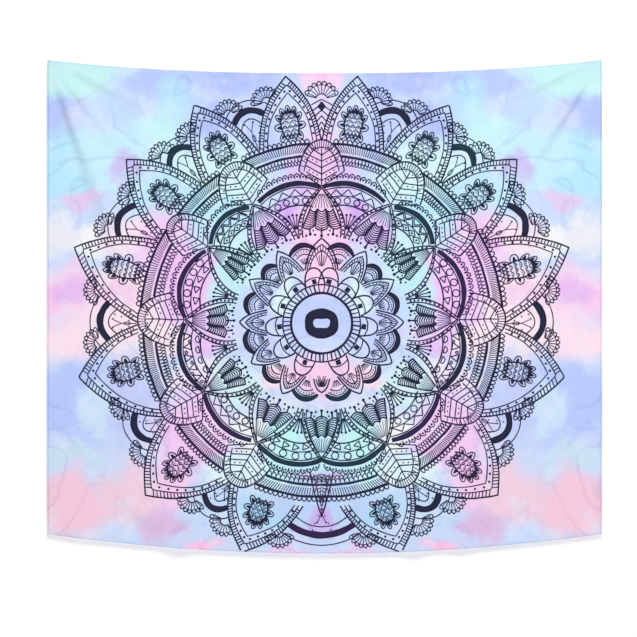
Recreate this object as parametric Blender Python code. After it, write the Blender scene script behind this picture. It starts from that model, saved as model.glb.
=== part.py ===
"""A printed cloth wall hanging, hung by two tape loops sewn behind its top corners.

Metres, +Z up, the printed face towards -Y and the wall towards +Y. The origin is the
middle of the hang line, the line across which the two loops bear on their hooks.
"""
import math

import bmesh
import bpy

# The hung cloth
HUNG_WIDTH = 1.4965       # between the two side edges, as it hangs
SIDE_LENGTH = 1.280       # down either side edge
TOP_SAG = 0.036           # how far the middle of the top edge droops
BOTTOM_SAG = 0.052        # how far the middle of the bottom edge droops
SAG_POWER = 2.4           # how square the droop of the top edge is
CLOTH = 0.0006

# The turned hems and their lines of stitching
HEM_THICKNESS = 0.0008
STITCH_INSET = 0.0015     # from the hem's inner edge
STITCH_WIDTH = 0.0010
THREAD = 0.0004

# The tape loops behind the corners
TAPE_WIDTH = 0.0045
TAPE = 0.0012
LOOP_OPENING = 0.008      # between the two legs of a loop
LOOP_DROP = 0.028         # from the hang line down to the fold of the tape
LOOP_EDGE_GAP = 0.002     # from the cloth's side edge to the loop
LOOP_STITCH_GAP = 0.0005  # from the loop to the line of stitching beside it
LOOP_COVER = 0.0056       # the cloth's corner stands this far above the loop's point
LOOP_END = 0.013          # the sewn-down end of the tape
TACK_HEIGHT = 0.003
TACK_UP = 0.004           # from the bottom of the sewn end
TACK_MARGIN = 0.001       # the tack stops this far from the tape's edges
TACK = 0.0005

SEAT = 0.0003             # the gap kept between pieces that touch

# The soft folds that run in from each top corner
FLAT_MARGIN = 0.002       # the cloth stays flat this far beyond a loop's sewn end
FOLD_RISE = 0.15          # and its folds have come up after this much more
FOLD_FADE = 0.30          # how slowly a fold dies away beyond its crest
BELLY = 0.004             # how far the middle of the cloth stands forward
FOLDS = (                 # degrees below level, height, half width in degrees
    (24.0, 0.010, 7.0),
    (52.0, 0.009, 6.5),
    (72.0, 0.011, 6.0),
)
WIDE_CELLS = 28
TALL_CELLS = 24

# Distances from front to back, each layer seated behind the one before
HALF_WIDTH = HUNG_WIDTH / 2
HEM_BACK = -TAPE / 2 - SEAT
CLOTH_BACK = HEM_BACK - HEM_THICKNESS - SEAT
LOOP_WIDTH = LOOP_OPENING + 2 * TAPE_WIDTH
LOOP_X = HALF_WIDTH - LOOP_EDGE_GAP - LOOP_WIDTH / 2
LOOP_PEAK = TAPE_WIDTH * math.sqrt(2.0)
HINGE_Z = -LOOP_DROP

# The loop lies on the hem between the cloth's edge and the stitching, behind the corner
HEM_WIDTH = LOOP_EDGE_GAP + LOOP_WIDTH + LOOP_STITCH_GAP + STITCH_WIDTH + STITCH_INSET
CORNER_RISE = LOOP_PEAK + LOOP_COVER
FLAT_REACH = CORNER_RISE + LOOP_DROP + LOOP_END + FLAT_MARGIN

PRINTED_CLOTH = (0.62, 0.60, 0.86)
TURNED_CLOTH = (0.80, 0.79, 0.88)
WHITE_THREAD = (0.86, 0.86, 0.88)
WHITE_TAPE = (0.78, 0.78, 0.80)


def clear_scene():
    for thing in list(bpy.data.objects):
        bpy.data.objects.remove(thing, do_unlink=True)


def collection(name):
    group = bpy.data.collections.new(name)
    bpy.context.scene.collection.children.link(group)
    return group


def material(name, colour, roughness):
    made = bpy.data.materials.new(name)
    made.use_nodes = True
    shader = made.node_tree.nodes["Principled BSDF"]
    shader.inputs["Base Color"].default_value = (*colour, 1.0)
    shader.inputs["Roughness"].default_value = roughness
    shader.inputs["Metallic"].default_value = 0.0
    return made


def smooth_step(value):
    value = min(max(value, 0.0), 1.0)
    return value * value * (3.0 - 2.0 * value)


def top_edge(x):
    """Height of the top edge, which droops between the two held corners."""
    return CORNER_RISE - TOP_SAG * (1.0 - abs(x / HALF_WIDTH) ** SAG_POWER)


def bottom_edge(x):
    """Height of the bottom edge, which droops in the middle by a little more."""
    return CORNER_RISE - SIDE_LENGTH - BOTTOM_SAG * (1.0 - (x / HALF_WIDTH) ** 2)


def height(x, down):
    """Height on the cloth, with down measured along the side edge from its top corner."""
    if down <= HEM_WIDTH:
        return top_edge(x) - down
    if down >= SIDE_LENGTH - HEM_WIDTH:
        return bottom_edge(x) + SIDE_LENGTH - down
    share = (down - HEM_WIDTH) / (SIDE_LENGTH - 2 * HEM_WIDTH)
    under_hem = top_edge(x) - HEM_WIDTH
    above_hem = bottom_edge(x) + HEM_WIDTH
    return under_hem + (above_hem - under_hem) * share


def stands_forward(x, z):
    """How far the cloth stands out from the flat of its corners: folds and a slight belly."""
    across = max(0.0, 1.0 - (x / HALF_WIDTH) ** 2)
    along = smooth_step((CORNER_RISE - z) / SIDE_LENGTH)
    out = BELLY * across * along
    for side in (-1, 1):
        inward = HALF_WIDTH - side * x
        below = CORNER_RISE - z
        reach = math.hypot(inward, below)
        slope = math.degrees(math.atan2(below, inward))
        risen = smooth_step((reach - FLAT_REACH) / FOLD_RISE)
        fading = math.exp(-max(0.0, reach - FLAT_REACH - FOLD_RISE) / FOLD_FADE)
        for turn, tall, half_wide in FOLDS:
            out += tall * risen * fading * math.exp(-((slope - turn) / half_wide) ** 2)
    return out


def grid_lines(length, cells):
    """Places across or down the cloth: the hem's and stitching's edges, then even cells."""
    inner = HEM_WIDTH - STITCH_INSET
    hem = [0.0, inner - STITCH_WIDTH, inner]
    step = (length - 2 * HEM_WIDTH) / cells
    middle = [HEM_WIDTH + step * index for index in range(cells + 1)]
    return hem + middle + [length - place for place in reversed(hem)]


def between(lines, low, high):
    """The grid lines inside a stretch, with the two ends of the stretch."""
    inside = [place for place in lines if low + 1e-6 < place < high - 1e-6]
    return [low] + inside + [high]


def cloth_layer(name, across, down, back, thickness, made_of, group):
    """A layer of cloth that follows the folds, from its grid lines and its back's depth."""
    mesh = bpy.data.meshes.new(name)
    sheet = bmesh.new()
    wide = len(across) - 1
    tall = len(down) - 1
    bmesh.ops.create_grid(sheet, x_segments=wide, y_segments=tall, size=0.5)
    for vertex in sheet.verts:
        x = across[round((vertex.co.x + 0.5) * wide)] - HALF_WIDTH
        z = height(x, down[round((0.5 - vertex.co.y) * tall)])
        vertex.co = (x, back - stands_forward(x, z), z)
    bmesh.ops.triangulate(sheet, faces=sheet.faces[:], quad_method="FIXED")
    front = bmesh.ops.extrude_face_region(sheet, geom=sheet.faces[:])["geom"]
    moved = [item for item in front if isinstance(item, bmesh.types.BMVert)]
    bmesh.ops.translate(sheet, verts=moved, vec=(0.0, -thickness, 0.0))
    bmesh.ops.recalc_face_normals(sheet, faces=sheet.faces[:])
    sheet.to_mesh(mesh)
    sheet.free()
    layer = bpy.data.objects.new(name, mesh)
    layer.data.materials.append(made_of)
    group.objects.link(layer)
    return layer


def make_cloth(group):
    """The printed panel, its four turned hems and their four lines of stitching."""
    printed = material("printed_cloth", PRINTED_CLOTH, 0.85)
    turned = material("turned_cloth", TURNED_CLOTH, 0.85)
    thread = material("white_thread", WHITE_THREAD, 0.6)
    across = grid_lines(HUNG_WIDTH, WIDE_CELLS)
    down = grid_lines(SIDE_LENGTH, TALL_CELLS)
    cloth_layer("printed_panel", across, down, CLOTH_BACK, CLOTH, printed, group)

    far_x = HUNG_WIDTH - HEM_WIDTH
    far_z = SIDE_LENGTH - HEM_WIDTH
    side_down = between(down, HEM_WIDTH + SEAT, far_z - SEAT)
    full_across = between(across, 0.0, HUNG_WIDTH)
    hems = {
        "hem_top": (full_across, between(down, 0.0, HEM_WIDTH)),
        "hem_bottom": (full_across, between(down, far_z, SIDE_LENGTH)),
        "hem_left": (between(across, 0.0, HEM_WIDTH), side_down),
        "hem_right": (between(across, far_x, HUNG_WIDTH), side_down),
    }
    for name, (over, under) in hems.items():
        cloth_layer(name, over, under, HEM_BACK, HEM_THICKNESS, turned, group)

    inner = HEM_WIDTH - STITCH_INSET
    outer = inner - STITCH_WIDTH
    row_across = between(across, outer, HUNG_WIDTH - outer)
    row_down = between(down, inner + SEAT, SIDE_LENGTH - inner - SEAT)
    rows = {
        "stitch_top": (row_across, [outer, inner]),
        "stitch_bottom": (row_across, [SIDE_LENGTH - inner, SIDE_LENGTH - outer]),
        "stitch_left": ([outer, inner], row_down),
        "stitch_right": ([HUNG_WIDTH - inner, HUNG_WIDTH - outer], row_down),
    }
    for name, (over, under) in rows.items():
        cloth_layer(name, over, under, HEM_BACK + SEAT + THREAD, THREAD, thread, group)


def loop_outline():
    """One flat loop of tape: two legs up from the fold line, mitred to a point at the top."""
    half = LOOP_WIDTH / 2
    inside = LOOP_OPENING / 2
    foot = HINGE_Z + SEAT
    left = [(-half, foot), (-half, LOOP_PEAK - half), (0.0, LOOP_PEAK)]
    right = [(half, LOOP_PEAK - half), (half, foot), (inside, foot)]
    inner = [(inside, -inside), (0.0, 0.0), (-inside, -inside), (-inside, foot)]
    return left + right + inner


def flat_tape(name, made_of):
    """The loop's outline as a flat curve, filled and extruded to the tape's thickness."""
    curve = bpy.data.curves.new(name, "CURVE")
    curve.dimensions = "2D"
    curve.fill_mode = "BOTH"
    curve.extrude = TAPE / 2
    points = loop_outline()
    spline = curve.splines.new("POLY")
    spline.points.add(len(points) - 1)
    for point, (x, y) in zip(spline.points, points):
        point.co = (x, y - HINGE_Z, 0.0, 1.0)
    spline.use_cyclic_u = True
    curve.materials.append(made_of)
    return curve


def block(name, size, centre, made_of, group):
    """A plain box of the given size about its centre."""
    mesh = bpy.data.meshes.new(name)
    box = bmesh.new()
    bmesh.ops.create_cube(box, size=1.0)
    bmesh.ops.scale(box, verts=box.verts[:], vec=size)
    box.to_mesh(mesh)
    box.free()
    made = bpy.data.objects.new(name, mesh)
    made.location = centre
    made.data.materials.append(made_of)
    group.objects.link(made)
    return made


def make_corner(side, x, tape, thread, group):
    """One loop on its fold line, the sewn-down end of its tape, and the bar tack over that."""
    hinge = bpy.data.objects.new("fold_line_" + side, None)
    hinge.location = (x, TAPE / 2, HINGE_Z)
    group.objects.link(hinge)

    loop = bpy.data.objects.new("corner_loop_" + side, flat_tape("corner_loop_" + side, tape))
    loop.parent = hinge
    loop.location = (0.0, -TAPE / 2, 0.0)
    loop.rotation_euler = (math.pi / 2, 0.0, 0.0)
    group.objects.link(loop)

    end_bottom = HINGE_Z - LOOP_END
    end_centre = (x, 0.0, HINGE_Z - LOOP_END / 2)
    block("loop_end_" + side, (LOOP_WIDTH, TAPE, LOOP_END), end_centre, tape, group)

    tack_size = (LOOP_WIDTH - 2 * TACK_MARGIN, TACK, TACK_HEIGHT)
    tack_y = TAPE / 2 + SEAT + TACK / 2
    tack_z = end_bottom + TACK_UP + TACK_HEIGHT / 2
    block("loop_tack_" + side, tack_size, (x, tack_y, tack_z), thread, group)


def main():
    clear_scene()
    group = collection("tapestry_wall_hanging")
    make_cloth(group)
    tape = material("white_tape", WHITE_TAPE, 0.8)
    thread = material("tack_thread", WHITE_THREAD, 0.6)
    make_corner("left", -LOOP_X, tape, thread, group)
    make_corner("right", LOOP_X, tape, thread, group)


main()
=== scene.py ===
# %% [markdown]
# # A printed cloth wall hanging
# A wide, light polyester cloth, printed with a pastel watercolour and a mandala in dark
# line, hangs by two small tape loops sewn behind its top corners. This lesson builds it on
# the fixed frame of solids that carries its sizes, its hang line and its two fold lines.
# The cloth is draped by a rule, the line work is drawn as thin inked strips that lie on the
# drape, and the back gets its hems, stitches, loops and bar tacks.

# %% Load the frame
import math

import bmesh
import bpy
from mathutils import Matrix, Vector, noise


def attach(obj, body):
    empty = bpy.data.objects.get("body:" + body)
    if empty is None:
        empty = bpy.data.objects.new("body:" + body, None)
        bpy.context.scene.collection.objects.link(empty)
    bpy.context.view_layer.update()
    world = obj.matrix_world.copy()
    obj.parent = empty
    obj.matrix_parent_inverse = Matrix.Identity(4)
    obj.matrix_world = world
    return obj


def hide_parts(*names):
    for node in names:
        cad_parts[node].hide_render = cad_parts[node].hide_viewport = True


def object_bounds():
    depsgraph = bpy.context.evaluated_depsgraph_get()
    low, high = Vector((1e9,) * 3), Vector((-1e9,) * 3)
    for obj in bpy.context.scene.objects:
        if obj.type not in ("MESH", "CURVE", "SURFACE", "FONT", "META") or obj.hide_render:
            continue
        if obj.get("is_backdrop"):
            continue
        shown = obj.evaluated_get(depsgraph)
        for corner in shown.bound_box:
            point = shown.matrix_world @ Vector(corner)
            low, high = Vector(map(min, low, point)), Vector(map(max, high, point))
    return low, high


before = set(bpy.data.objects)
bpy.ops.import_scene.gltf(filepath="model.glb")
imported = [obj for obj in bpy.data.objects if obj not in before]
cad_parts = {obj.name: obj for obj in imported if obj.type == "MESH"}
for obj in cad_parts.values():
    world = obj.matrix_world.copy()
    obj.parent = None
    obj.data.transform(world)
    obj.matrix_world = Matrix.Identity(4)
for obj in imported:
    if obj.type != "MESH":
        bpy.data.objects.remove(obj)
cad_low, cad_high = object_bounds()
print("frame box, metres:", [round(b - a, 4) for a, b in zip(cad_low, cad_high)])

# %% [markdown]
# ## Camera and room
# A hanging this wide is looked at from straight in front and far back, so that its edges
# stay parallel. A long lens a good way off does that. The camera comes first, because the
# weight of every line is judged through it.

# %% A long lens straight in front
VIEW_WIDTH = 1.720        # how much wall the picture takes in, metres
VIEW_CENTRE = (-0.0165, -0.686)
VIEW_DISTANCE = 9.0
SENSOR = 36.0

camera = bpy.data.objects.new("front_camera", bpy.data.cameras.new("front_camera"))
camera.data.sensor_width = SENSOR
camera.data.lens = SENSOR * VIEW_DISTANCE / VIEW_WIDTH
camera.location = (VIEW_CENTRE[0], -VIEW_DISTANCE, VIEW_CENTRE[1])
camera.rotation_euler = (math.pi / 2, 0.0, 0.0)
bpy.context.collection.objects.link(camera)
bpy.context.scene.camera = camera
bpy.context.scene.view_settings.view_transform = "Standard"
print("lens, mm:", round(camera.data.lens))

# %% [markdown]
# ## Colour and node helpers
# Paint and print colours are written as the sRGB hex values a designer reads off a chart.
# Blender's shaders want linear light, so one function turns the one into the other. The rest
# add shader nodes with their settings and links, so that a material reads as a few lines.

# %% Hex to linear, and short ways to add nodes
def linear(code):
    """An sRGB hex colour such as '#bfe5e8' as linear light, with full alpha."""
    parts = [int(code[i:i + 2], 16) / 255 for i in (1, 3, 5)]
    bent = [p / 12.92 if p <= 0.04045 else ((p + 0.055) / 1.055) ** 2.4 for p in parts]
    return (*bent, 1.0)


def add(tree, kind, settings=None, **links):
    """One node: its own settings, then its inputs by name, as values or as other sockets."""
    node = tree.nodes.new("ShaderNode" + kind)
    for key, value in (settings or {}).items():
        setattr(node, key, value)
    for key, value in links.items():
        name = key.replace("_", " ")
        socket = node.inputs[int(key[1:])] if key[1:].isdigit() else node.inputs[name]
        if isinstance(value, bpy.types.NodeSocket):
            tree.links.new(value, socket)
        else:
            socket.default_value = value
    return node


def maths(tree, operation, *values):
    """The result of one arithmetic node."""
    links = {f"_{place}": value for place, value in enumerate(values)}
    return add(tree, "Math", {"operation": operation}, **links).outputs[0]


def ease(tree, value, start, end, low=0.0, high=1.0):
    """A soft step: low where the value is at start, high where it is at end."""
    return add(tree, "MapRange", {"interpolation_type": "SMOOTHSTEP"}, Value=value,
               From_Min=start, From_Max=end, To_Min=low, To_Max=high).outputs[0]


def mixed(tree, share, first, second, blend="MIX"):
    """Two colours, mixed or blended by a share."""
    return add(tree, "Mix", {"data_type": "RGBA", "blend_type": blend}, _0=share, _6=first,
               _7=second).outputs[2]


def new_material(name, **inputs):
    """A material, its node tree, and its Principled shader with these inputs set."""
    made = bpy.data.materials.new(name)
    made.use_nodes = True
    shader = made.node_tree.nodes["Principled BSDF"]
    for key, value in inputs.items():
        shader.inputs[key.replace("_", " ")].default_value = value
    return made, made.node_tree, shader


print("half-bright grey as linear light:", round(linear("#808080")[0], 3))

# %% [markdown]
# ## A plain white room
# The wall stands a finger's width behind the cloth, as a real one does behind a loop on a
# hook, so the edges drop a thin soft shadow on it. Seen from behind, the wall lets the view
# and the light through, so that the back of the cloth can be looked at too.

# %% Wall, floor and soft light
WALL_Y = 0.0140
FLOOR_Z = -2.1
STAGE_SIZE = 14.0
PANEL_MIDDLE = (0.0, 0.0, -0.65)
WHITE = (1.0, 1.0, 1.0, 1.0)


def flat_stage(name, place, turn):
    """A square of wall or floor, marked as stage."""
    bpy.ops.mesh.primitive_plane_add(size=STAGE_SIZE, location=place, rotation=turn)
    made = bpy.context.object
    made.name = name
    made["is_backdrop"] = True
    return made


def wall_paint():
    """Matt white emulsion, see-through from behind and to the lights behind it."""
    made, tree, shader = new_material(
        "matt_white_emulsion", Base_Color=linear("#fafafa"), Emission_Color=WHITE,
        Emission_Strength=0.12, Roughness=0.9, Specular_IOR_Level=0.1)
    side = add(tree, "NewGeometry")
    path = add(tree, "LightPath")
    either = maths(tree, "MAXIMUM", side.outputs["Backfacing"], path.outputs["Is Shadow Ray"])
    clear = add(tree, "BsdfTransparent")
    both = add(tree, "MixShader", _0=either, _1=shader.outputs[0], _2=clear.outputs[0])
    tree.links.new(both.outputs[0], tree.nodes["Material Output"].inputs["Surface"])
    return made


def area_light(name, place, size, power):
    """A soft square light turned towards the middle of the cloth."""
    lamp = bpy.data.objects.new(name, bpy.data.lights.new(name, "AREA"))
    lamp.data.shape = "SQUARE"
    lamp.data.size = size
    lamp.data.energy = power
    lamp.location = place
    towards = Vector(PANEL_MIDDLE) - Vector(place)
    lamp.rotation_euler = towards.to_track_quat("-Z", "Y").to_euler()
    bpy.context.collection.objects.link(lamp)


paint = wall_paint()
wall = flat_stage("wall", (0.0, WALL_Y, 1.0), (math.pi / 2, 0.0, 0.0))
floor = flat_stage("floor", (0.0, WALL_Y - STAGE_SIZE / 2, FLOOR_Z), (0.0, 0.0, 0.0))
for part in (wall, floor):
    part.data.materials.append(paint)

world = bpy.data.worlds.new("studio")
world.use_nodes = True
world.node_tree.nodes["Background"].inputs["Color"].default_value = WHITE
world.node_tree.nodes["Background"].inputs["Strength"].default_value = 0.25
bpy.context.scene.world = world
area_light("key_light", (0.4, -4.0, 2.6), 2.8, 192.0)
area_light("back_light", (-1.5, 5.0, 2.0), 2.5, 125.0)
print("stage pieces:", wall.name, floor.name)

# %% [markdown]
# ## How the cloth hangs
# Held at two corners, a light cloth droops along its top edge, and soft folds run in from
# each held corner where the weight pulls. A cloth simulation of a sheet this wide needs
# very many steps before its print would hang true, so the drape is a rule instead: a height
# for every place on the cloth, and a distance forward of the wall. Everything else, line
# work, hems and stitches, is hung with the same rule and so lies exactly on the cloth.

# %% The outline of the hung cloth
HALF_WIDTH = 0.74825
SIDE_LENGTH = 1.280
TOP_SAG = 0.036
BOTTOM_SAG = 0.052
SAG_POWER = 2.4
CORNER_RISE = 0.01196
CLOTH_BACK = -0.0020      # where the back of the flat cloth lies, just in front of its hem
CLOTH_THICK = 0.0003
HEM_WIDTH = 0.022


def smooth_step(value):
    value = min(max(value, 0.0), 1.0)
    return value * value * (3.0 - 2.0 * value)


def top_edge(x):
    return CORNER_RISE - TOP_SAG * (1.0 - min(abs(x / HALF_WIDTH), 1.0) ** SAG_POWER)


def bottom_edge(x):
    return CORNER_RISE - SIDE_LENGTH - BOTTOM_SAG * (1.0 - min(abs(x / HALF_WIDTH), 1.0) ** 2)


print("droop of top and bottom, mm:", TOP_SAG * 1000, BOTTOM_SAG * 1000)

# %% The folds
# Each fold: degrees below level; height, metres; widths of its steep side and of its gentle
# side, degrees; where it starts and how far it runs, metres from the corner.
LEFT_FOLDS = (
    (68.0, 0.0200, 4.0, 9.0, 0.030, 0.64),
    (50.0, 0.0140, 4.0, 8.0, 0.030, 0.28),
    (24.0, 0.0120, 4.5, 9.0, 0.030, 0.32),
)
RIGHT_FOLDS = (
    (55.0, 0.0200, 3.8, 9.0, 0.030, 0.40),
    (77.0, 0.0080, 5.0, 8.0, 0.050, 0.34),
    (21.0, 0.0120, 4.5, 9.0, 0.030, 0.34),
)
# Each sway of the lower hem: where it meets the hem, its lean, its height and its width.
HEM_SWAYS = (
    (-0.395, -1.03, 0.0150, 0.036),
    (-0.660, -0.25, 0.0040, 0.045),
    (0.245, 1.05, 0.0100, 0.030),
    (0.370, 1.50, 0.0090, 0.032),
)
BELLY = 0.0035            # how far the middle of the lower hem stands forward
FOLD_RISE = 0.13          # a fold comes up to its height over this length
SWAY_FADE = 0.20          # this far up from the hem a sway is down to about a third


def one_sided(offset, steep, gentle):
    """A soft ridge that falls away quickly on its lower side and slowly on its upper side."""
    width = steep if offset > 0.0 else gentle
    return math.exp(-((offset / width) ** 2))


def stands_forward(x, z):
    """How far the cloth stands out from the flat of its corners."""
    below = CORNER_RISE - z
    out = BELLY * max(0.0, 1.0 - (x / HALF_WIDTH) ** 2) * smooth_step(below / SIDE_LENGTH)
    for side, folds in ((-1, LEFT_FOLDS), (1, RIGHT_FOLDS)):
        inward = HALF_WIDTH - side * x
        reach = math.hypot(inward, below)
        slope = math.degrees(math.atan2(below, inward))
        for turn, tall, steep, gentle, start, run in folds:
            risen = smooth_step((reach - start) / FOLD_RISE)
            fading = math.exp(-max(0.0, (reach - start) / run) ** 2)
            out += tall * risen * fading * one_sided(slope - turn, steep, gentle)
    for place, lean, tall, wide in HEM_SWAYS:
        up = z - bottom_edge(x)
        across = (x - place - lean * up) / wide
        out += tall * math.exp(-across * across) * math.exp(-((up / SWAY_FADE) ** 2))
    return out


def hung(x, z, behind=0.0):
    """The place in space of a point on the cloth's front, or a little behind that."""
    return Vector((x, CLOTH_BACK - CLOTH_THICK - stands_forward(x, z) + behind, z))


print("folds and sways:", len(LEFT_FOLDS + RIGHT_FOLDS), len(HEM_SWAYS))

# %% [markdown]
# ## The watercolour on the cloth
# The print under the line work is a wet-in-wet watercolour: soft patches of aqua,
# periwinkle, orchid and peach that run into each other, the left half mirrored on the
# right. Each wash here is an ellipse of one colour, laid over the ones before it, and one
# noise pushes all their edges about so that they wander as wet paint does. Faint darker
# tide lines stand for the pigment that gathers where wet paint dries.

# %% The washes: colour, place across and up from the mandala's centre, and half sizes, metres
PRINT_CENTRE = (-0.0081, -0.6990)
GROUND = "#c6d6f6"
WASHES = (
    # the top corners and the top edge
    ("#bdeaea", 0.665, 0.655, 0.150, 0.070), ("#aebff2", 0.725, 0.545, 0.070, 0.080),
    ("#c8d0f3", 0.645, 0.553, 0.055, 0.050), ("#b0c2f3", 0.440, 0.650, 0.120, 0.050),
    ("#bcd3f5", 0.540, 0.545, 0.100, 0.070), ("#ace3f1", 0.369, 0.590, 0.075, 0.075),
    ("#c0edf1", 0.420, 0.500, 0.110, 0.090), ("#b7c8f6", 0.215, 0.560, 0.190, 0.160),
    ("#adbcf3", 0.230, 0.660, 0.130, 0.045), ("#aab9f0", 0.300, 0.535, 0.050, 0.060),
    ("#c9d8f7", 0.070, 0.560, 0.070, 0.080), ("#dccff5", 0.000, 0.560, 0.040, 0.120),
    ("#f3bfe6", 0.000, 0.665, 0.060, 0.030),
    # the upper sides
    ("#b0e1f5", 0.690, 0.420, 0.120, 0.100), ("#bfe6f4", 0.560, 0.440, 0.110, 0.090),
    ("#c6bdee", 0.528, 0.415, 0.050, 0.055), ("#cdeff1", 0.285, 0.400, 0.120, 0.110),
    ("#b9dff4", 0.430, 0.360, 0.110, 0.060), ("#b3e2f5", 0.300, 0.300, 0.090, 0.055),
    ("#eef0f2", 0.625, 0.225, 0.070, 0.050), ("#e6e6ef", 0.715, 0.250, 0.060, 0.060),
    ("#dcc6ec", 0.655, 0.330, 0.045, 0.020),
    # pinks and orchids of the middle sides
    ("#f3c9ea", 0.690, 0.075, 0.120, 0.085), ("#e3b6ec", 0.665, 0.085, 0.070, 0.040),
    ("#f9dcea", 0.690, -0.055, 0.130, 0.065), ("#f8dfea", 0.520, 0.030, 0.140, 0.120),
    ("#f6dbea", 0.520, 0.240, 0.085, 0.060), ("#f1c0f0", 0.430, 0.200, 0.075, 0.080),
    ("#ecbcf2", 0.370, 0.110, 0.095, 0.110), ("#f2cbe9", 0.560, 0.070, 0.070, 0.030),
    ("#e5bef4", 0.325, -0.035, 0.085, 0.065), ("#f8e3ef", 0.430, -0.035, 0.060, 0.055),
    # the lower sides and the bottom corners
    ("#b1c4f7", 0.665, -0.215, 0.150, 0.120), ("#bec9f5", 0.520, -0.220, 0.085, 0.120),
    ("#c5dcf6", 0.610, -0.250, 0.050, 0.060), ("#c4dcf0", 0.690, -0.365, 0.110, 0.030),
    ("#f1c4d8", 0.670, -0.490, 0.150, 0.085), ("#edcadd", 0.500, -0.460, 0.100, 0.090),
    ("#e9e1f5", 0.340, -0.135, 0.090, 0.030), ("#efc5f0", 0.350, -0.290, 0.105, 0.140),
    ("#f3c6ec", 0.400, -0.420, 0.060, 0.090), ("#d9b8de", 0.420, -0.540, 0.065, 0.050),
    ("#bfd6f6", 0.280, -0.490, 0.100, 0.070), ("#d8eff7", 0.230, -0.400, 0.090, 0.050),
    ("#f7bfe5", 0.308, -0.600, 0.060, 0.025),
    # round the middle
    ("#bde8f3", 0.225, 0.120, 0.075, 0.130), ("#c5ecf1", 0.225, 0.205, 0.090, 0.060),
    ("#c0ccf7", 0.140, 0.010, 0.100, 0.100), ("#bac8f7", 0.000, 0.020, 0.150, 0.085),
    ("#cbe9f1", 0.225, -0.165, 0.090, 0.050), ("#d8edf7", 0.100, 0.070, 0.035, 0.050),
    ("#dabef4", 0.135, 0.255, 0.065, 0.060), ("#cda5f0", 0.085, 0.295, 0.045, 0.045),
    ("#d8bff4", 0.050, 0.400, 0.045, 0.065), ("#f2c6ee", 0.000, 0.420, 0.050, 0.090),
    ("#f6c8ea", 0.000, 0.240, 0.075, 0.120), ("#fbc8ea", 0.000, 0.135, 0.060, 0.055),
    ("#f8dcea", 0.125, -0.140, 0.055, 0.040), ("#f6cbea", 0.000, -0.140, 0.120, 0.055),
    # the lower middle
    ("#d8d4f5", 0.000, -0.225, 0.110, 0.035), ("#eaf0f3", 0.205, -0.290, 0.050, 0.060),
    ("#bae4f3", 0.000, -0.325, 0.150, 0.110), ("#bdf1f1", 0.115, -0.355, 0.050, 0.085),
    ("#aad4f3", 0.160, -0.505, 0.065, 0.055), ("#b6cef3", 0.070, -0.480, 0.070, 0.055),
    ("#c7bcea", 0.000, -0.420, 0.050, 0.025), ("#c4a9ea", 0.000, -0.535, 0.045, 0.040),
    ("#dfc2f0", 0.110, -0.610, 0.060, 0.015), ("#f0c0e6", 0.050, -0.622, 0.030, 0.010),
)
print("washes:", len(WASHES))


# %% Painting the washes
WASH_EDGE = (1.34, 0.52)      # a wash fades out between these shares of its half sizes
WANDER = 0.085                # how far the noise pushes an edge, metres


def watercolour(tree):
    """The mirrored, wandering washes. Returns their colour and the mirrored print map."""
    place = add(tree, "UVMap", {"uv_map": "print_map"})
    apart = add(tree, "SeparateXYZ", _0=place.outputs[0])
    mirrored = maths(tree, "ABSOLUTE", apart.outputs[0])
    folded = add(tree, "CombineXYZ", _0=mirrored, _1=apart.outputs[1]).outputs[0]
    broad = add(tree, "TexNoise", Vector=folded, Scale=8.0, Detail=6.0, Roughness=0.62)
    centred = add(tree, "VectorMath", {"operation": "SUBTRACT"}, _0=broad.outputs["Color"],
                  _1=(0.5, 0.5, 0.5))
    pushed = add(tree, "VectorMath", {"operation": "MULTIPLY"}, _0=centred.outputs[0],
                 _1=(2 * WANDER, 2 * WANDER, 0.0))
    wet = add(tree, "VectorMath", {"operation": "ADD"}, _0=folded, _1=pushed.outputs[0])
    colour = linear(GROUND)
    for code, x, z, wide, tall in WASHES:
        inside = add(tree, "Mapping", {"vector_type": "TEXTURE"}, Vector=wet.outputs[0],
                     Location=(x, z, 0.0), Scale=(wide, tall, 1.0))
        far = add(tree, "VectorMath", {"operation": "LENGTH"}, _0=inside.outputs[0])
        cover = ease(tree, far.outputs["Value"], *WASH_EDGE)
        colour = mixed(tree, cover, colour, linear(code))
    return colour, folded


def tide_lines(tree, colour, folded):
    """Darker rims that come and go, pale blooms where water sat, and a slight mottle."""
    pool = add(tree, "TexNoise", Vector=folded, Scale=4.6, Detail=3.0, Roughness=0.5,
               Distortion=0.6)
    wave = maths(tree, "PINGPONG", maths(tree, "MULTIPLY", pool.outputs["Fac"], 6.0), 0.5)
    come_and_go = add(tree, "TexNoise", Vector=folded, Scale=3.4, Detail=1.0)
    strong = ease(tree, come_and_go.outputs["Fac"], 0.42, 0.60, 0.03, 0.22)
    rim = ease(tree, wave, 0.15, 0.0, 0.0, strong)
    bloom = add(tree, "TexNoise", Vector=folded, Scale=12.0, Detail=5.0, Roughness=0.55)
    wet_spot = ease(tree, bloom.outputs["Fac"], 0.50, 0.68, 0.0, 0.34)
    paler = mixed(tree, wet_spot, colour, linear("#e2ecf9"))
    darker = mixed(tree, rim, paler, linear("#a9b2e0"), "MULTIPLY")
    grain = add(tree, "TexNoise", Vector=folded, Scale=60.0, Detail=5.0, Roughness=0.7)
    mottle = add(tree, "MapRange", Value=grain.outputs["Fac"], From_Min=0.3, From_Max=0.7,
                 To_Min=0.0, To_Max=0.16)
    return mixed(tree, mottle.outputs[0], darker, WHITE, "SOFT_LIGHT")


print("a wash edge wanders up to about", round(WANDER * 1000), "mm")

# %% [markdown]
# ## Two faces of one polyester cloth
# The face is peach-finished polyester with the dyes pressed into it: matt, with a faint
# sheen at a grazing view. Its threads are about a quarter of a millimetre apart, far finer
# than a picture of the whole shows, so the weave is drawn four times as coarse. On the back
# the dyes only ghost through, paler and greyer.

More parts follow.
